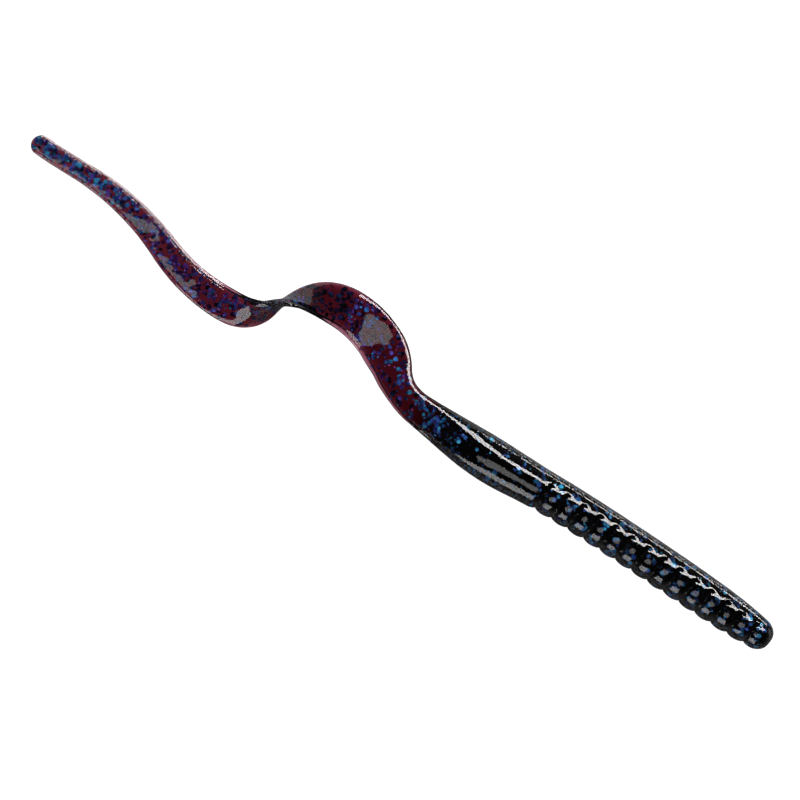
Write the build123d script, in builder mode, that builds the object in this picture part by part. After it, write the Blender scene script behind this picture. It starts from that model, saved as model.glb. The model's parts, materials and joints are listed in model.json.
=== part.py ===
from build123d import *
from math import cos, exp, pi, radians, sin, sqrt
import os

# A soft plastic ribbon-tail worm, lying on its side on a flat surface.
# The real worm is one soft moulding with loose glitter flakes cast inside it. Here the moulding
# is cut where it flexes: at every ring groove, and at even steps along the smooth body and tail.
# +X points out of the nose, +Y out of the smooth back, +Z up. Millimetres and degrees.
# Distances are measured along the spine, from the tip of the nose towards the tip of the tail.

# Spine: seen from above, a chain of arcs, each (length, turn), turning left when positive.
nose_tip = (84.85, -2.8)
nose_heading = 178
bends = [
    (40, 2.5), (18, 3.5), (14, -6), (8, -1), (9, -39), (14, 41),
    (16, 62), (8, -55), (17, -27.5), (22, 24), (11.1, -4.1),
]
worm_length = sum(length for length, turn in bends)
# Height of the spine's middle above the surface, each (distance, height), eased in between.
heights = [(0, 4.12), (60, 4.54), (76, 4.4), (96, 1.3), (117, 4.3), (135, 1.2), (worm_length, 0.7)]

# Ribbed front body, which narrows towards a blunt nose.
nose_length = 4.25
nose_flat = 0.7
nose_cheek = (0.45, 2.0)
nose_shoulder = (1.5, 2.62)
nose_bulge = (3.1, 3.08)
nose_narrowing = 0.42
narrowing_length = 6.0
rib_count = 13
rib_pitch = 3.635
rib_radius = 4.08
groove_radius = 3.53
back_radius = 4.12
back_chord = 0.46 * rib_radius
rib_cuts = [nose_length + index * rib_pitch for index in range(rib_count + 1)]
ribs_end = rib_cuts[-1]

# Smooth rear body, which swells and then narrows to the root of the tail.
swell_radius = 4.5
swell_at = 63
neck_half_width = 3.08
neck_at = 84
flattening = (61.5, 85)

# Ribbon tail, a flat band with a bevel along both edges, turned over once on its way.
ribbon_half_width = 4.5
ribbon_full_at = 94
taper = (98, 166)
tip_half_width = 1.95
ribbon_half_thickness = 0.95
tip_half_thickness = 0.6
bevel = 0.9
half_twist = (100.7, 133)
tip_shares = (0.4, 0.7, 0.88, 0.97)

# Sections behind the ribs: name, start, end.
rear_sections = [("smooth_front", ribs_end, 61), ("smooth_middle", 61, 71), ("tail_root", 71, 80)]
ribbon_cuts = [80, 90, 99, 108, 117, 126, 135, 145, 155, 166, worm_length]
station_step = 1.6

# Flex gaps between sections: a slot that opens as a wedge to both sides of its hinge.
flex_gap = 0.2
body_flex = 10
tail_flex = 12
wedge_spare = 0.6
wedge_reach = 7

# Glitter: hexagonal flakes cast inside every section. In the flat tail they lie nearly level.
flake_radius = 0.5
flake_thickness = 0.08
flake_margin = 0.95
flakes_per_mm = (1.6, 1.2)
flake_room = (1.3, 1.3)
flat_flake_room = (1.6, 0.45)
flake_tilt = (50, 8)
flat_from = 78
golden_share = 0.618034
golden_angle = 137.5


def ease(distance, start, end):
    """0 before start, 1 after end, and smooth in between."""
    share = min(1, max(0, (distance - start) / (end - start)))
    return share * share * (3 - 2 * share)


def spine_point(distance):
    """The spine's x, y, height and heading at a distance from the nose."""
    x, y = nose_tip
    heading = radians(nose_heading)
    left = distance
    for length, turn in bends:
        step = min(length, left)
        half_turn = radians(turn) * step / length / 2
        chord = step * sin(half_turn) / half_turn if half_turn else step
        x += chord * cos(heading + half_turn)
        y += chord * sin(heading + half_turn)
        heading += 2 * half_turn
        left -= step
    z = heights[0][1]
    for (start, low), (end, high) in zip(heights, heights[1:]):
        z += (high - low) * ease(distance, start, end)
    return x, y, z, heading


def front_share(distance):
    """Share of its full girth that the front body has, less towards the nose."""
    return 1 - nose_narrowing * exp(-distance / narrowing_length)


def half_width(distance):
    """Half of the worm's width, from belly to back, or across the ribbon."""
    width = rib_radius * front_share(distance)
    width += (swell_radius - rib_radius) * ease(distance, ribs_end, swell_at)
    width -= (swell_radius - neck_half_width) * ease(distance, swell_at, neck_at)
    width += (ribbon_half_width - neck_half_width) * ease(distance, neck_at, ribbon_full_at)
    narrowed = min(1, max(0, (distance - taper[0]) / (taper[1] - taper[0])))
    return width - (ribbon_half_width - tip_half_width) * narrowed


def half_thickness(distance):
    """Half of the worm's thickness, square to its width."""
    along_tail = (distance - flattening[1]) / (worm_length - flattening[1])
    flat = ribbon_half_thickness - (ribbon_half_thickness - tip_half_thickness) * max(0, along_tail)
    flatness = ease(distance, *flattening)
    return half_width(distance) * (1 - flatness) + flat * flatness


def cross_plane(distance):
    """Plane of a cross-section: x across the worm towards its belly, y through it, z along it."""
    x, y, z, heading = spine_point(distance)
    twist = pi * ease(distance, *half_twist)
    across = (-sin(heading) * cos(twist), cos(heading) * cos(twist), sin(twist))
    return Plane(origin=(x, y, z), x_dir=across, z_dir=(cos(heading), sin(heading), 0))


def side_plane(distance):
    """Plane along the worm: x towards the tail, y towards the belly, z up."""
    x, y, z, heading = spine_point(distance)
    return Plane(origin=(x, y, z), x_dir=(cos(heading), sin(heading), 0), z_dir=(0, 0, 1))


def upright_plane(distance):
    """Plane along the worm: x towards the tail, y up, z towards the back."""
    x, y, z, heading = spine_point(distance)
    return Plane(
        origin=(x, y, z),
        x_dir=(cos(heading), sin(heading), 0),
        z_dir=(sin(heading), -cos(heading), 0),
    )


def oval(distance):
    """Oval cross-section of the smooth body."""
    with BuildSketch(cross_plane(distance)) as outline:
        Ellipse(half_width(distance), half_thickness(distance))
    return outline.sketch


def ribbon_outline(distance, share=1.0):
    """Bevelled cross-section of the ribbon, drawn in to a share of its width at the tip."""
    width = half_width(distance) * share
    flat = max(width - bevel, width / 3)
    thickness = half_thickness(distance)
    with BuildSketch(cross_plane(distance)) as outline:
        Polygon(
            (-width, 0), (-flat, -thickness), (flat, -thickness),
            (width, 0), (flat, thickness), (-flat, thickness),
            align=None,
        )
    return outline.sketch


def stations(start, end):
    """Distances of the cross-sections from start to end, in even steps."""
    count = max(3, round((end - start) / station_step))
    return [start + (end - start) * step / count for step in range(count + 1)]


def flex_slot(distance, sideways, flex):
    """Outline of the slot between two sections, as a bow tie with the hinge at its middle."""
    half = flex_gap / 2
    spread = half + wedge_reach * sin(radians(flex / 2 + wedge_spare))
    plane = upright_plane(distance) if sideways else side_plane(distance)
    with BuildSketch(plane) as outline:
        Polygon(
            (-half, 0), (-spread, wedge_reach), (spread, wedge_reach),
            (half, 0), (spread, -wedge_reach), (-spread, -wedge_reach),
            align=None,
        )
    return outline.sketch


def cut_slots(start, end):
    """Cuts the flex slots at both ends of the section that is being built."""
    for cut in (start, end):
        if cut in hinges:
            sideways, flex = hinges[cut]
            slot = flex_slot(cut, sideways, flex)
            extrude(slot, amount=wedge_reach, both=True, mode=Mode.SUBTRACT)


def save(builder, name):
    """Labels a finished piece and writes it."""
    builder.part.label = name
    export_step(builder.part, f"parts/{name}.step")


os.makedirs("parts", exist_ok=True)

# Sections of the moulding from nose to tail: name, start, end.
sections = [("nose", 0, nose_length)]
for index, (rib_start, rib_end) in enumerate(zip(rib_cuts, rib_cuts[1:])):
    sections.append((f"rib_{index + 1:02d}", rib_start, rib_end))
sections += rear_sections
for index, (ribbon_start, ribbon_end) in enumerate(zip(ribbon_cuts, ribbon_cuts[1:])):
    sections.append((f"ribbon_{index + 1:02d}", ribbon_start, ribbon_end))

# A hinge in every slot: belly-to-back and sideways by turns, counted outwards from smooth_front.
root_index = 1 + rib_count
hinges = {}
for index in range(root_index):
    hinges[sections[index][2]] = ((root_index - 1 - index) % 2 == 1, body_flex)
for index in range(root_index + 1, len(sections)):
    hinges[sections[index][1]] = ((index - root_index - 1) % 2 == 1, tail_flex)

# Nose: a blunt dome turned about the spine, drawn in to the first groove.
name, start, end = sections[0]
nose_plane = side_plane(start)
first_groove = (nose_length, groove_radius * front_share(nose_length))
with BuildPart() as nose:
    with BuildSketch(nose_plane):
        with BuildLine():
            ThreePointArc((0, nose_flat), nose_cheek, nose_shoulder)
            ThreePointArc(nose_shoulder, nose_bulge, first_groove)
            Polyline(first_groove, (nose_length, 0), (0, 0), (0, nose_flat))
        make_face()
    revolve(axis=Axis(nose_plane.origin, nose_plane.x_dir))
    cut_slots(start, end)
save(nose, name)

# Ribs: a bulging ring turned about the spine, filled out along the back to a smooth cylinder.
for name, start, end in sections[1:root_index]:
    middle = side_plane((start + end) / 2)
    share = front_share((start + end) / 2)
    front_groove = (-rib_pitch / 2, groove_radius * front_share(start))
    rear_groove = (rib_pitch / 2, groove_radius * front_share(end))
    with BuildPart() as rib:
        with BuildSketch(middle):
            with BuildLine():
                Polyline(front_groove, (-rib_pitch / 2, 0), (rib_pitch / 2, 0), rear_groove)
                ThreePointArc(front_groove, (0, rib_radius * share), rear_groove)
            make_face()
        revolve(axis=Axis(middle.origin, middle.x_dir))
        with BuildSketch(cross_plane((start + end) / 2)):
            Circle(back_radius * share)
            with Locations((-back_chord * share - back_radius, 0)):
                Rectangle(2 * back_radius, 2 * back_radius, mode=Mode.INTERSECT)
        extrude(amount=rib_pitch / 2, both=True)
        cut_slots(start, end)
    save(rib, name)

# Smooth body: a loft through ovals that flatten towards the tail.
for name, start, end in rear_sections:
    with BuildPart() as smooth:
        loft([oval(distance) for distance in stations(start, end)])
        cut_slots(start, end)
    save(smooth, name)

# Ribbon tail: a loft through bevelled outlines that turn over with the twist.
for name, start, end in sections[root_index + len(rear_sections):]:
    with BuildPart() as ribbon:
        if end < worm_length:
            outlines = [ribbon_outline(distance) for distance in stations(start, end)]
        else:
            shoulder = end - tip_half_width
            outlines = [ribbon_outline(distance) for distance in stations(start, shoulder)]
            for share in tip_shares:
                rounded = sqrt(1 - share * share)
                outlines.append(ribbon_outline(shoulder + share * tip_half_width, rounded))
        loft(outlines)
        cut_slots(start, end)
    save(ribbon, name)

# Glitter: flakes spread through each section on a golden-angle spiral, and tilted by turns.
for name, start, end in sections:
    flat = start >= flat_from
    count = round((end - start) * flakes_per_mm[flat])
    room_off_side, room_off_face = flat_flake_room if flat else flake_room
    with BuildPart() as glitter:
        for index in range(count):
            along = (index + 0.5) / count
            distance = start + flake_margin + (end - start - 2 * flake_margin) * along
            reach = sqrt((index + 0.5) * golden_share % 1)
            turn = radians(index * golden_angle)
            across = reach * cos(turn) * (half_width(distance) - room_off_side)
            through = reach * sin(turn) * (half_thickness(distance) - room_off_face)
            here = cross_plane(distance)
            centre = here.from_local_coords((across, through, 0))
            lying = Plane(origin=centre, x_dir=here.x_dir, z_dir=here.y_dir)
            tilt = flake_tilt[flat] * sin(index * golden_angle)
            with BuildSketch(lying.rotated((tilt, 0, 0))):
                RegularPolygon(flake_radius, 6)
            extrude(amount=flake_thickness / 2, both=True)
    save(glitter, f"glitter_{name}")
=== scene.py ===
import json
import math

import bpy
import numpy as np
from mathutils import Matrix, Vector


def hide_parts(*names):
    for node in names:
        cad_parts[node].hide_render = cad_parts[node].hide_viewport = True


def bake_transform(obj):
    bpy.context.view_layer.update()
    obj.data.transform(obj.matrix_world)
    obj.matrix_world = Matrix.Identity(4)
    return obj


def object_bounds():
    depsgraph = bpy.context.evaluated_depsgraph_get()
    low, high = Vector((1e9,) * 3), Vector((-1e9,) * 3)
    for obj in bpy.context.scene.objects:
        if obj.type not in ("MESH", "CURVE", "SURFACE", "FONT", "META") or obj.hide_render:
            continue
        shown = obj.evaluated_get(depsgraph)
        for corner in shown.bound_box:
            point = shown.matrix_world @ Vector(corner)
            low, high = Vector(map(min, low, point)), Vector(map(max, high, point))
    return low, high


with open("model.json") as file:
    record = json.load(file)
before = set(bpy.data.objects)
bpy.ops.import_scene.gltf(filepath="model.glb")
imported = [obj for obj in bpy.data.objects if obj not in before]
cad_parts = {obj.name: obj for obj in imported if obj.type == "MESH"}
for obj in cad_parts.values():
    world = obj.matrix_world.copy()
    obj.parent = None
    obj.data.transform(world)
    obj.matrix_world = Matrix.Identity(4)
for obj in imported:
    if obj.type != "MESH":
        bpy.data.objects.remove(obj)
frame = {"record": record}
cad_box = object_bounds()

# A soft plastic ribbon-tail worm. Metres, in the CAD's frame: +X out of the nose, +Y out of the
# smooth back, +Z up. Distances are along the spine from the tip of the nose, and the turn round a
# section starts at the belly and goes over the top.
mm = 0.001
seed = 7
floor_gap = 0.05 * mm

# ---- The shape that part.py gives, which the skin follows ----
nose_tip = next(m["pos_m"] for m in frame["record"]["mounts"] if m["name"] == "nose_hook_entry")
nose_heading = 178
bends = [
    (40, 2.5), (18, 3.5), (14, -6), (8, -1), (9, -39), (14, 41),
    (16, 62), (8, -55), (17, -27.5), (22, 24), (11.1, -4.1),
]
worm_length = sum(length for length, turn in bends) * mm
heights = [
    (0, 4.12), (60, 4.54), (76, 4.4), (96, 1.3), (117, 4.3), (135, 1.2), (worm_length / mm, 0.7),
]
nose_length = 4.25 * mm
nose_round = 2.5 * mm
nose_fullness = 0.34
nose_narrowing = 0.36
narrowing_length = 6 * mm
rib_count = 13
rib_pitch = 3.635 * mm
rib_radius = 4.08 * mm
ribs_end = nose_length + rib_count * rib_pitch
swell_radius = 4.5 * mm
swell_at = 63 * mm
neck_half_width = 3.08 * mm
neck_at = 84 * mm
flattening = (61.5 * mm, 85 * mm)
ribbon_half_width = 4.5 * mm
ribbon_full_at = 94 * mm
taper = (98 * mm, 166 * mm)
tip_half_width = 1.95 * mm
ribbon_half_thickness = 0.95 * mm
tip_half_thickness = 0.6 * mm
half_twist = (100.7 * mm, 133 * mm)
rear_cuts = [61, 71, 80, 90, 99, 108, 117, 126, 135, 145, 155, 166]

# ---- Details of the skin ----
# The ring grooves deepen from the first of these angles to the second, in degrees from the back.
groove_starts = (56, 72)
crease_starts = (66, 90)
groove_lean = 5
lean_pivot = 0.9
grooves_fade_in = (0.5 * mm, 2.5 * mm)
groove_depth = 0.40 * mm
crease_depth = 0.12 * mm
crease_width = 0.16 * mm
# Two fine parting ridges run along both sides of the back.
seam_angles = (31, 40)
seam_ridge = 0.10 * mm
seam_width = 0.13 * mm
# The band between them lies as much lower, and the body is plain again by the second angle.
back_band_ends = (50, 75)
wave_height = 0.006 * mm
joint_bulge = 0.03 * mm
bulge_share = 0.97
# The ribbon does not lie quite flat: where it rolls a little, and by how many degrees.
ribbon_rolls = ((97 * mm, -8), (149.5 * mm, -6))
roll_reach = 3 * mm
# The ribbon thins towards its belly edge.
edge_thinning = 0.4
edge_from = (0.66, 0.86)
# How fast the parting ridges die away where the body flattens.
ridge_fade_power = 4

# ---- Colours of the plastic and of the foil, from dark to bright ----
plastic_ior = 1.49
plastic_density = 3900
plastic_colour = (0.6, 0.17, 0.32, 1)
# The cyan end of each foil's range is partly a painted glint.
body_foil = ((0.04, 0.05, 0.32), (0.02, 0.26, 0.88), (0.04, 0.72, 1.0))
ribbon_foil = ((0.12, 0.03, 0.36), (0.02, 0.20, 0.90), (0.03, 0.68, 1.0))
ribbon_pink_foil = ((0.40, 0.12, 0.34), *ribbon_foil[1:])
pink_share = 0.5


def ease(value, start, end):
    """0 before start, 1 after end, and smooth in between."""
    share = np.clip((value - start) / (end - start), 0, 1)
    return share * share * (3 - 2 * share)


def spine(distance):
    """Points of the spine, and its heading, at distances from the nose."""
    x = np.full_like(distance, nose_tip[0])
    y = np.full_like(distance, nose_tip[1])
    heading = np.full_like(distance, math.radians(nose_heading))
    left = distance.copy()
    for length, turn in bends:
        step = np.clip(left, 0, length * mm)
        half_turn = math.radians(turn) * step / (length * mm) / 2
        chord = step * np.sinc(half_turn / math.pi)
        x += chord * np.cos(heading + half_turn)
        y += chord * np.sin(heading + half_turn)
        heading += 2 * half_turn
        left = left - step
    z = np.full_like(distance, heights[0][1] * mm)
    for (start, low), (end, high) in zip(heights, heights[1:]):
        z += (high - low) * mm * ease(distance, start * mm, end * mm)
    return np.stack([x, y, z], -1), heading


def section_axes(distance):
    """Centre of each section, and its axes: across, towards the belly, and through."""
    centre, heading = spine(distance)
    twist = math.pi * ease(distance, *half_twist)
    for middle, roll in ribbon_rolls:
        twist = twist + math.radians(roll) * np.exp(-(((distance - middle) / roll_reach) ** 2))
    left = np.stack([-np.sin(heading), np.cos(heading), 0 * heading], -1)
    up = np.stack([0 * heading, 0 * heading, 1 + 0 * heading], -1)
    turned = np.stack([twist] * 3, -1)
    across = left * np.cos(turned) + up * np.sin(turned)
    through = up * np.cos(turned) - left * np.sin(turned)
    return centre, across, through


def place(distance, across, through):
    """Points of the bent worm from their distance and their place in the section."""
    centre, axis_across, axis_through = section_axes(distance)
    return centre + axis_across * across[..., None] + axis_through * through[..., None]


def half_width(distance):
    width = rib_radius * (1 - nose_narrowing * np.exp(-distance / narrowing_length))
    width = width + (swell_radius - rib_radius) * ease(distance, ribs_end, swell_at)
    width = width - (swell_radius - neck_half_width) * ease(distance, swell_at, neck_at)
    width = width + (ribbon_half_width - neck_half_width) * ease(distance, neck_at, ribbon_full_at)
    narrowed = np.clip((distance - taper[0]) / (taper[1] - taper[0]), 0, 1)
    return width - (ribbon_half_width - tip_half_width) * narrowed


def flat_half_thickness(distance):
    along = np.clip((distance - flattening[1]) / (worm_length - flattening[1]), 0, 1)
    return ribbon_half_thickness - (ribbon_half_thickness - tip_half_thickness) * along


def from_ring_cut(distance):
    """Distance past the nearest cut between rings, negative before it."""
    return (distance - nose_length + rib_pitch / 2) % rib_pitch - rib_pitch / 2


def groove_sink(distance, turn, from_back):
    """How far the ring grooves sink the skin below a plain round body."""
    slope = math.tan(math.radians(groove_lean))
    leaning = distance - slope * half_width(distance) * (np.cos(turn) - lean_pivot)
    beside_cut = from_ring_cut(leaning)
    beside_cut = np.where(leaning < nose_length, leaning - nose_length, beside_cut)
    beside_cut = np.where(leaning > ribs_end, leaning - ribs_end, beside_cut)
    lobe = np.clip(1 - np.abs(beside_cut) / (rib_pitch / 2), 0, 1) ** 2
    crease = crease_depth * np.exp(-((beside_cut / crease_width) ** 2))
    sunk = groove_depth * lobe * ease(from_back, *groove_starts)
    sunk = sunk + crease * ease(from_back, *crease_starts)
    return sunk * ease(distance, *grooves_fade_in)


def outline(distance, turn):
    """Place in the section of the skin, across and through, at a distance and a turn."""
    width = half_width(distance)
    flatness = ease(distance, *flattening)
    thick = width * (1 - flatness) + flat_half_thickness(distance) * flatness
    from_back = np.degrees(np.abs((turn % (2 * math.pi)) - math.pi))
    ridge = sum(
        seam_ridge * np.exp(-((np.radians(from_back - angle) * width / seam_width) ** 2))
        for angle in seam_angles
    )
    wave = wave_height * (
        np.sin(distance / mm * 2.9 + 2.3 * np.sin(3 * turn))
        + np.sin(distance / mm * 1.3 + 5 * turn + 1)
        + np.sin(7 * turn - distance / mm * 0.7)
    )
    band_sink = seam_ridge * (1 - ease(from_back, *back_band_ends))
    ridge = (ridge - band_sink) * (1 - flatness) ** ridge_fade_power
    proud = ridge - groove_sink(distance, turn, from_back) + wave
    squareness = 1 + np.sqrt(flatness) * (np.sqrt(1 + np.cos(turn) ** 2) - 1)
    squareness = squareness * (1 - edge_thinning * flatness * ease(np.cos(turn), *edge_from))
    nose = np.clip(1 - distance / nose_round, 0, 1)
    tip = np.clip((distance - (worm_length - tip_half_width)) / tip_half_width, 0, 1)
    blunt = (1 - nose ** 2) ** nose_fullness
    across = (width + proud) * np.cos(turn) * blunt * np.sqrt(1 - tip ** 2)
    through = (thick + proud) * np.sin(turn) * squareness * blunt * np.sqrt(1 - tip ** 4)
    return across, through


# ---- Sections, hinges and rows ----
cuts = [0.0, nose_length] + [nose_length + (k + 1) * rib_pitch for k in range(rib_count)]
cuts += [cut * mm for cut in rear_cuts] + [worm_length]
names = ["nose"] + [f"rib_{k + 1:02d}" for k in range(rib_count)]
names += ["smooth_front", "smooth_middle", "tail_root"]
names += [f"ribbon_{k + 1:02d}" for k in range(10)]
middles = [(low + high) / 2 for low, high in zip(cuts, cuts[1:])]
seams = [0.0] + middles[1:-1] + [worm_length]
rows_per_ring = 22
row_step = 0.38 * mm
least_row_step = 0.02 * mm


def skin_rows():
    """Distances of the rows of skin points: on every seam, and closer at the grooves and ends."""
    rows = [nose_round * (1 - np.cos(np.linspace(0.06, 0.5, 12) * math.pi))]
    ring_rows = rows_per_ring * (rib_count + 1) + 1
    rows.append(np.linspace(nose_round, ribs_end + rib_pitch / 2, ring_rows))
    rows.append(np.array(seams[1:-1]))
    for start, end in zip(seams[rib_count:], seams[rib_count + 1:]):
        start = max(start, ribs_end + rib_pitch / 2)
        stop = min(end, worm_length - tip_half_width)
        rows.append(np.linspace(start, stop, round((stop - start) / row_step) + 1))
    rows.append(worm_length - tip_half_width * (1 - np.sin(np.linspace(0, 0.47, 12) * math.pi)))
    rows = np.unique(np.round(np.concatenate(rows), 8))
    keep = np.concatenate([[True], np.diff(rows) > least_row_step])
    return rows[keep]


def skin_turns():
    """Turns of the columns of skin points: closer on the ridges and where the grooves begin."""
    seam = [angle + offset for angle in seam_angles for offset in (-2.4, -1, 0, 1, 2.4)]
    from_back = [*range(0, 31, 6), *seam, *np.arange(48, 80, 2), *range(81, 181, 3)]
    from_back = np.unique(np.round(from_back, 3))
    return np.radians(np.concatenate([180 - from_back[::-1], 180 + from_back[1:-1]]))


def whole_skin():
    """Points and normals of the whole skin, one row for each distance."""
    distance, turn = np.meshgrid(skin_rows(), skin_turns(), indexing="ij")
    reach, swing = 0.01 * mm, math.radians(0.1)
    along = place(distance + reach, *outline(distance + reach, turn))
    along -= place(distance - reach, *outline(distance - reach, turn))
    around = place(distance, *outline(distance, turn + swing))
    around -= place(distance, *outline(distance, turn - swing))
    normals = np.cross(around, along)
    normals /= np.linalg.norm(normals, axis=-1, keepdims=True)
    return distance[:, 0], place(distance, *outline(distance, turn)), normals


def new_object(name, points, faces, normals=None):
    mesh = bpy.data.meshes.new(name)
    mesh.from_pydata(points.tolist(), [], faces)
    mesh.validate()
    if normals is not None:
        mesh.polygons.foreach_set("use_smooth", [True] * len(mesh.polygons))
        mesh.normals_split_custom_set([tuple(normal) for normal in normals])
    made = bpy.data.objects.new(name, mesh)
    bpy.context.scene.collection.objects.link(made)
    return made


def skin_piece(name, first, last, rows, points, normals):
    """One closed length of the skin, from row first to row last.

    At a joint, the end faces of both lengths bulge a little past it, so that they overlap there.
    """
    is_nose, is_tip = first == 0, last == len(rows) - 1
    end_distances = np.array([
        0.0 if is_nose else rows[first],
        worm_length if is_tip else rows[last],
    ])
    middles, headings = spine(end_distances)
    ahead = np.stack([np.cos(headings), np.sin(headings), 0 * headings], -1)
    columns = points.shape[1]
    parts = [points[first:last + 1].reshape(-1, 3)]
    parts_normals = [normals[first:last + 1].reshape(-1, 3)]
    for middle, out, row, is_open in (
        (middles[0], -ahead[0], first, is_nose), (middles[1], ahead[1], last, is_tip),
    ):
        shift = 0 if is_open else joint_bulge
        end_ring = middle + (points[row] - middle) * bulge_share + out * shift
        parts += [end_ring, [middle + out * shift]]
        parts_normals += [normals[row] if is_open else np.tile(out, (columns, 1)), [out]]
    corners, corner_normals = np.concatenate(parts), np.concatenate(parts_normals)
    rings = last - first + 1
    first_cap, last_cap = rings * columns, (rings + 1) * columns + 1
    faces, inner = [], []
    for column in range(columns):
        beside = (column + 1) % columns
        for row in range(rings - 1):
            near, far = row * columns, (row + 1) * columns
            faces.append([near + column, near + beside, far + beside, far + column])
        inner += [0] * (rings - 1)
        end = (rings - 1) * columns
        faces += [
            [beside, column, first_cap + column, first_cap + beside],
            [first_cap + columns, first_cap + beside, first_cap + column],
            [end + column, end + beside, last_cap + beside, last_cap + column],
            [last_cap + columns, last_cap + column, last_cap + beside],
        ]
        inner += [not is_nose] * 2 + [not is_tip] * 2
    face_normals = [corner_normals[corner] for face in faces for corner in face]
    made = new_object(name, corners, faces, face_normals)
    layer = made.data.attributes.new("inner_joint", "FLOAT", "FACE")
    layer.data.foreach_set("value", np.array(inner, np.float32))
    return made


# ---- Materials ----
def new_material(name):
    material = bpy.data.materials.new(name)
    material.use_nodes = True
    nodes = material.node_tree.nodes
    return material, nodes, material.node_tree.links, nodes["Principled BSDF"]


def plastic(name):
    """Clear glossy plastic that absorbs light with depth, and bends none inside the joints."""
    material, nodes, links, shader = new_material(name)
    shader.inputs["Base Color"].default_value = (1, 1, 1, 1)
    shader.inputs["Roughness"].default_value = 0.05
    shader.inputs["Transmission Weight"].default_value = 1.0
    inner = nodes.new("ShaderNodeAttribute")
    inner.attribute_name = "inner_joint"
    shader.inputs["IOR"].default_value = plastic_ior
    ior = nodes.new("ShaderNodeMapRange")
    ior.inputs["To Min"].default_value = plastic_ior
    ior.inputs["To Max"].default_value = 1.0
    links.new(inner.outputs["Fac"], ior.inputs["Value"])
    links.new(ior.outputs["Result"], shader.inputs["IOR"])
    absorption = nodes.new("ShaderNodeVolumeAbsorption")
    absorption.inputs["Color"].default_value = plastic_colour
    absorption.inputs["Density"].default_value = plastic_density
    links.new(absorption.outputs["Volume"], nodes["Material Output"].inputs["Volume"])
    coordinates = nodes.new("ShaderNodeTexCoord")
    noise = nodes.new("ShaderNodeTexNoise")
    noise.inputs["Scale"].default_value = 300
    noise.inputs["Detail"].default_value = 1
    links.new(coordinates.outputs["Object"], noise.inputs["Vector"])
    bump = nodes.new("ShaderNodeBump")
    bump.inputs["Strength"].default_value = 0.05
    bump.inputs["Distance"].default_value = 0.05 * mm
    links.new(noise.outputs["Fac"], bump.inputs["Height"])
    links.new(bump.outputs["Normal"], shader.inputs["Normal"])
    return material


def glitter_material():
    """Foil that takes its colour, with its painted facet shade and painted glints, from the
    corners of each flake.
    """
    material, nodes, links, shader = new_material("blue_glitter")
    shader.inputs["Metallic"].default_value = 0.3
    shader.inputs["Roughness"].default_value = 0.4
    shader.inputs["Specular IOR Level"].default_value = 0.2
    colour = nodes.new("ShaderNodeAttribute")
    colour.attribute_name = "flake_colour_and_painted_glint"
    links.new(colour.outputs["Color"], shader.inputs["Base Color"])
    return material


# ---- Glitter ----
# Large hexagonal flakes and small off-cuts: count per mm of worm, radius range and whether small.
flake_kinds = ((4.6, 0.30, 0.56, False), (7.0, 0.12, 0.26, True))
# The ribbon, from here back, shows more of its glitter than the body does.
dense_from = 90 * mm
dense_factor, body_factor = 1.7, 1.25
# The ribbon's darker colours come in along the first stretch and mostly go again along the second.
dark_comes = (72 * mm, 96 * mm)
dark_goes = (146 * mm, 160 * mm)
dark_lost = 0.6
flake_tries = 4000
flat_from = 0.3
round_below = 0.05
far_side_share = 0.2
flake_lean = 0.22
# Depth of a flake under the skin: most are near it, and a few are much deeper.
least_depth = 0.02 * mm
depth_range = 0.7 * mm
depth_power = 2.5
flake_half_thickness = 0.02 * mm
flake_room = 0.05 * mm
flake_clear_of_cuts = 0.45 * mm
clear_of_nose = 1.3 * mm
clear_of_edge = 0.3 * mm
clear_of_rim = 0.5 * mm
# How bright the body's flakes are, partly their foil's tone and partly a painted glint, and how
# much a painted facet shade varies over the corners of one flake, as if its creases caught the
# light.
body_brightness = (0.2, 1.15)
painted_facet_shade = 0.35
# The middle of each flake is painted brighter still: a painted glint.
painted_glint_gain = 0.15


def is_inside(local):
    """Whether every point, given as distance, across and through, is under the skin."""
    distance, across, through = local.T
    if distance.min() < clear_of_nose or distance.max() > worm_length - clear_of_edge:
        return False
    width = half_width(distance)
    is_round = ease(distance, *flattening) < round_below
    turn_if_flat = np.arccos(np.clip(across / width, -1, 1))
    turn = np.where(is_round, np.arctan2(through, across), turn_if_flat)
    side, rise = outline(distance, turn)
    in_round = np.hypot(across, through) < np.hypot(side, rise) - flake_room
    in_flat = np.abs(through) < np.abs(rise) - flake_room
    in_flat &= np.abs(across) < width - clear_of_edge
    return bool(np.all(np.where(is_round, in_round, in_flat)))


def is_in_clump(middle, chance):
    """Whether to keep a flake: most are, in the drifts that the glitter gathers in."""
    along, across = middle[0] / mm, middle[1] / mm
    swirl = math.sin(1.1 * along + 1.5 * math.sin(0.9 * across + 0.37 * along))
    return chance.uniform() < 0.6 + 0.5 * swirl * math.cos(1.2 * across - 0.5 * along)


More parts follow.
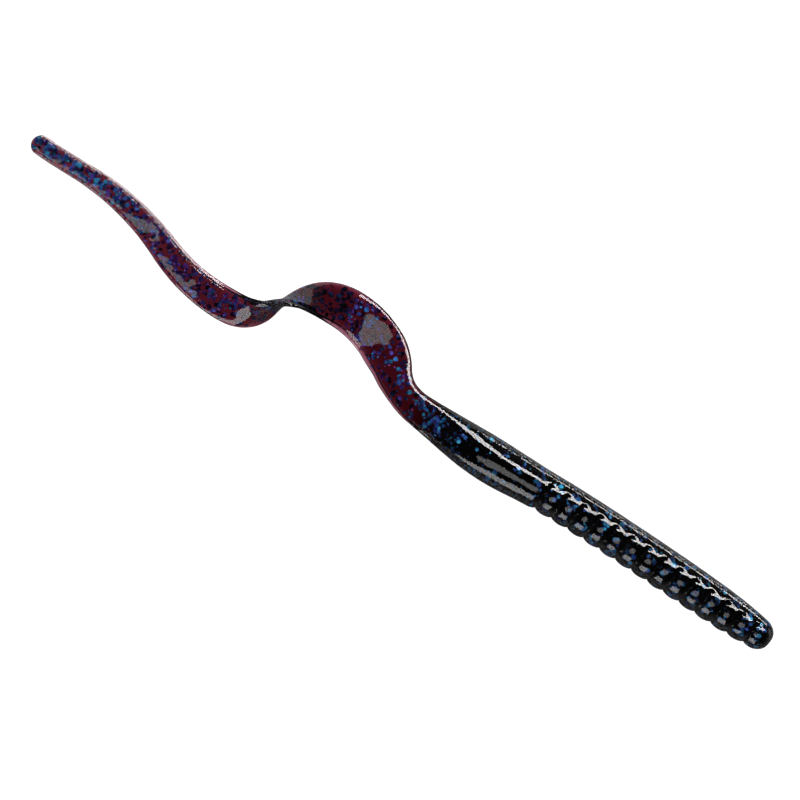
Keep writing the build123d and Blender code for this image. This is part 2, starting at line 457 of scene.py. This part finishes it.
def flake(start, end, radius, chance):
    """Corners of one flake, as distance, across and through: a rim of six and a middle, twice."""
    distance = chance.uniform(start, end)
    at = np.array([distance])
    width = half_width(at)[0]
    flatness = ease(at, *flattening)[0]
    upper = 1 if distance < (half_twist[0] + half_twist[1]) / 2 else -1
    if chance.uniform() < far_side_share:
        upper = -upper
    is_flat = flatness > flat_from
    if is_flat:
        across = chance.uniform(-1, 1) * (width - clear_of_rim)
        turn = np.arccos(np.clip(across / width, -1, 1))
    else:
        turn = chance.uniform(0, math.pi)
    side, rise = outline(at, np.array([turn]))
    depth = flake_room + least_depth + depth_range * chance.uniform() ** depth_power
    if is_flat:
        middle = np.array([distance, side[0], upper * max(rise[0] - depth, 0)])
        normal = np.array([0.0, 0.0, 1.0])
    else:
        inner = 1 - depth / math.hypot(side[0], rise[0])
        middle = np.array([distance, side[0] * inner, upper * rise[0] * inner])
        normal = np.array([0.0, side[0], upper * rise[0]]) / math.hypot(side[0], rise[0])
    lean = chance.normal(0, flake_lean, 2)
    first = np.cross(normal, [1.0, 0.0, 0.0])
    second = np.array([1.0, 0.0, 0.0])
    normal = normal + lean[0] * first + lean[1] * second
    normal /= np.linalg.norm(normal)
    first = np.cross(normal, [1.0, 0.3, 0.1])
    first /= np.linalg.norm(first)
    second = np.cross(normal, first)
    angles = chance.uniform(0, math.pi) + np.arange(6) * math.pi / 3
    rim = radius * (np.cos(angles)[:, None] * first + np.sin(angles)[:, None] * second)
    face = np.concatenate([middle + rim, [middle]])
    lift = normal * flake_half_thickness
    return np.concatenate([face + lift, face - lift])


def flake_shades(chance, is_small, is_dark):
    """Colours of a flake's six rim corners and its middle: foil from navy to cyan, with a painted
    facet shade that changes from corner to corner and a painted glint in the middle.
    """
    foil = ribbon_foil if is_dark else body_foil
    if is_dark and is_small and chance.uniform() < pink_share:
        foil = ribbon_pink_foil
    navy, blue, cyan = (np.array(colour) for colour in foil)
    # A flake's brightness is partly its foil's tone and partly a painted glint.
    if is_dark:
        brightness = chance.uniform() * chance.uniform()
    else:
        brightness = chance.uniform(*body_brightness)
    shades = []
    for corner in range(7):
        # Each corner gets its own painted facet shade, and the middle a painted glint on top.
        facet_shaded = brightness + chance.uniform(-painted_facet_shade, painted_facet_shade)
        level = np.clip(facet_shaded + (painted_glint_gain if corner == 6 else 0), 0, 1)
        low, high, share = (navy, blue, level * 2) if level < 0.5 else (blue, cyan, level * 2 - 1)
        shades.append(low + (high - low) * share)
    return shades


def glitter_piece(name, start, end, chance):
    """Every flake cast inside one length of the worm, as one mesh."""
    points, faces, shades = [], [], []
    beside_rings = start < ribs_end
    factor = dense_factor if start > dense_from else body_factor
    for per_mm, smallest, largest, is_small in flake_kinds:
        wanted = round((end - start) / mm * per_mm * factor)
        tries = 0
        while wanted > 0 and tries < flake_tries:
            tries += 1
            radius = chance.uniform(smallest, largest) * mm
            corners = flake(start, end, radius, chance)
            if beside_rings:
                if np.abs(from_ring_cut(corners[:, 0])).min() < flake_clear_of_cuts:
                    continue
            if not is_inside(corners) or not is_in_clump(corners[13], chance):
                continue
            wanted -= 1
            base = len(points) * 14
            points.append(corners)
            for k in range(6):
                beside = (k + 1) % 6
                faces.append([base + 6, base + k, base + beside])
                faces.append([base + 13, base + 7 + beside, base + 7 + k])
                faces.append([base + beside, base + k, base + 7 + k, base + 7 + beside])
            at = corners[13, 0]
            dark_share = ease(at, *dark_comes) * (1 - dark_lost * ease(at, *dark_goes))
            shades += flake_shades(chance, is_small, chance.uniform() < dark_share) * 2
    local = np.concatenate(points)
    made = new_object(name, place(*local.T), faces)
    layer = made.data.color_attributes.new("flake_colour_and_painted_glint", "FLOAT_COLOR", "POINT")
    colours = np.array([(*shade, 1.0) for shade in shades], np.float32)
    layer.data.foreach_set("color", colours.ravel())
    return made


# ---- Build the pieces ----
# The share of a piece at each end that is kept out of the stretch where it would bend.
unbent_share = 0.12


def blend_over(piece, index):
    """Works out where a piece would bend over the hinge between sections index and index + 1, and
    bakes its transform; the piece is not bent here.
    """
    joint = cuts[index + 1]
    low, high = seams[index], seams[index + 1]
    if index == 0:
        low = max(low, joint - (high - joint))
    if index == len(names) - 2:
        high = min(high, joint + (joint - low))
    _, heading = spine(np.array([low, joint, high]))
    width = float(half_width(np.array([joint]))[0])
    skew_low = width * abs(math.sin(heading[1] - heading[0]))
    skew_high = width * abs(math.sin(heading[2] - heading[1]))
    start_at = low + unbent_share * (high - low) + skew_low
    end_at = high - unbent_share * (high - low) - skew_high
    ends, _ = spine(np.array([start_at, end_at]))
    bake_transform(piece)


def build_worm():
    """One skin and one set of flakes over each hinge."""
    rows, points, normals = whole_skin()

    def nearest_row(distance):
        return int(np.argmin(np.abs(rows - distance)))

    chance = np.random.default_rng(seed)
    body = plastic("body_plastic")
    ribbon = plastic("ribbon_plastic")
    glitter = glitter_material()
    for index in range(len(names) - 1):
        is_last = index == len(names) - 2
        first = 0 if index == 0 else nearest_row(seams[index])
        last = len(rows) - 1 if is_last else nearest_row(seams[index + 1])
        section = names[index + 1]
        is_ribbon = section.startswith("ribbon")
        skin = skin_piece(f"skin_{section}", first, last, rows, points, normals)
        skin.data.materials.append(ribbon if is_ribbon else body)
        blend_over(skin, index)
        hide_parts(*(["nose", section] if index == 0 else [section]))
        flakes = glitter_piece(f"flakes_{section}", seams[index], seams[index + 1], chance)
        flakes.data.materials.append(glitter)
        blend_over(flakes, index)
        hidden = [f"glitter_{section}"]
        if index == 0:
            hidden.append("glitter_nose")
        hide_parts(*hidden)


build_worm()


# ---- Floor, lights and camera ----
# The floor's glow: to the camera, through the plastic, and in reflections, where it rises
# with each metre towards +Y.
glow_strength = 0.85
glow_seen = 1.2
glow_through = 0.8
glow_mirrored = 0.7
glow_rise = 40.0
# The camera looks straight down at a point that lies so far from the tip of the nose.
camera_distance = 0.9
view_width = 152 * mm
view_turn = 33.5
view_back, view_aside, view_height = 83.98 * mm, 0.5 * mm, 4 * mm


def maths(nodes, links, operation, *values):
    """A maths node on numbers or sockets, and its output."""
    node = nodes.new("ShaderNodeMath")
    node.operation = operation
    for socket, value in zip(node.inputs, values):
        if isinstance(value, bpy.types.NodeSocket):
            links.new(value, socket)
        else:
            socket.default_value = value
    return node.outputs[0]


def add_floor():
    """A white floor: a soft glow seen through the worm, and mirrored on the +Y side only."""
    mesh = bpy.data.meshes.new("floor")
    reach = 6.0
    corners = [(-reach, -reach, 0), (reach, -reach, 0), (reach, reach, 0), (-reach, reach, 0)]
    mesh.from_pydata(corners, [], [(0, 1, 2, 3)])
    floor = bpy.data.objects.new("floor", mesh)
    bpy.context.scene.collection.objects.link(floor)
    floor.location.z = cad_box[0].z - floor_gap
    material, nodes, links, shader = new_material("floor")
    shader.inputs["Base Color"].default_value = (0.2, 0.2, 0.2, 1)
    shader.inputs["Roughness"].default_value = 0.9
    shader.inputs["Specular IOR Level"].default_value = 0.0
    shader.inputs["Emission Color"].default_value = (1, 1, 1, 1)
    path = nodes.new("ShaderNodeLightPath")
    through = maths(nodes, links, "MULTIPLY", path.outputs["Is Transmission Ray"], glow_through)
    coordinates = nodes.new("ShaderNodeTexCoord")
    behind = nodes.new("ShaderNodeSeparateXYZ")
    links.new(coordinates.outputs["Object"], behind.inputs["Vector"])
    lit = maths(nodes, links, "MULTIPLY", behind.outputs["Y"], glow_rise)
    lit = maths(nodes, links, "MINIMUM", lit, glow_mirrored)
    mirrored = maths(nodes, links, "MULTIPLY", lit, path.outputs["Is Reflection Ray"])
    glow = maths(nodes, links, "MAXIMUM", through, mirrored)
    seen = maths(nodes, links, "MULTIPLY", path.outputs["Is Camera Ray"], glow_seen)
    glow = maths(nodes, links, "MAXIMUM", glow, seen)
    strength = maths(nodes, links, "MULTIPLY", glow, glow_strength)
    links.new(strength, shader.inputs["Emission Strength"])
    material.cycles.emission_sampling = "NONE"
    floor.data.materials.append(material)


def add_softbox(
    name, middle, side, elevation, distance, length, width, radiance, shape="RECTANGLE"
):
    """A long light over the worm, on the +Y or -Y side, at an angle above the floor."""
    light = bpy.data.lights.new(name, "AREA")
    light.shape = shape
    light.size = length
    light.size_y = width
    light.energy = radiance * math.pi * length * width
    box = bpy.data.objects.new(name, light)
    bpy.context.scene.collection.objects.link(box)
    rise = math.radians(elevation)
    out = Vector((0, side * math.cos(rise), math.sin(rise)))
    box.location = middle + out * distance
    box.rotation_mode = "QUATERNION"
    box.rotation_quaternion = out.to_track_quat("Z", "Y")
    box.visible_camera = False
    return box


def add_world():
    """A dim room, a little brighter below, and white where the camera sees it."""
    world = bpy.data.worlds.new("studio")
    bpy.context.scene.world = world
    world.use_nodes = True
    nodes = world.node_tree.nodes
    links = world.node_tree.links
    coordinates = nodes.new("ShaderNodeTexCoord")
    split = nodes.new("ShaderNodeSeparateXYZ")
    ramp = nodes.new("ShaderNodeValToRGB")
    ramp.color_ramp.elements[0].position = 0.0
    ramp.color_ramp.elements[0].color = (0.16, 0.16, 0.16, 1)
    ramp.color_ramp.elements[1].position = 0.5
    ramp.color_ramp.elements[1].color = (0.03, 0.03, 0.03, 1)
    links.new(coordinates.outputs["Generated"], split.inputs["Vector"])
    links.new(split.outputs["Z"], ramp.inputs["Fac"])
    path = nodes.new("ShaderNodeLightPath")
    sky = nodes.new("ShaderNodeMixRGB")
    sky.inputs["Color2"].default_value = (1, 1, 1, 1)
    links.new(path.outputs["Is Camera Ray"], sky.inputs["Fac"])
    links.new(ramp.outputs["Color"], sky.inputs["Color1"])
    links.new(sky.outputs["Color"], nodes["Background"].inputs["Color"])


def keep_dark(light, piece_name):
    """Leaves one piece out of a light, so that its flat face does not mirror it."""
    receivers = bpy.data.collections.new("kept_dark")
    receivers.objects.link(bpy.data.objects[piece_name])
    light.light_linking.receiver_collection = receivers
    receivers.collection_objects[0].light_linking.link_state = "EXCLUDE"


def add_lights():
    middle = (cad_box[0] + cad_box[1]) / 2
    back_middle = middle + Vector((-0.06, 0, 0))
    back = add_softbox(
        "softbox_back", back_middle, side=1, elevation=43, distance=0.6,
        length=0.82, width=0.22, radiance=14,
    )
    add_softbox(
        "softbox_belly", middle, side=-1, elevation=22, distance=1.8,
        length=1.1, width=0.95, radiance=3.9,
    )
    add_softbox(
        "softbox_top", middle, side=-1, elevation=73, distance=0.7,
        length=0.42, width=0.4, radiance=1.6, shape="ELLIPSE",
    )
    keep_dark(back, "skin_ribbon_04")


def add_camera():
    """A camera straight above the worm, turned so that its nose points down to the right."""
    camera = bpy.data.cameras.new("camera")
    camera.sensor_width = 36
    camera.lens = camera.sensor_width * camera_distance / view_width
    camera.clip_start = 0.05
    camera.clip_end = 20
    holder = bpy.data.objects.new("camera", camera)
    bpy.context.scene.collection.objects.link(holder)
    holder.location = (
        nose_tip[0] - view_back, nose_tip[1] - view_aside, camera_distance + view_height
    )
    holder.rotation_euler = (0, 0, math.radians(view_turn))
    bpy.context.scene.camera = holder


add_floor()
add_world()
add_lights()
add_camera()
bpy.context.scene.view_settings.view_transform = "Standard"
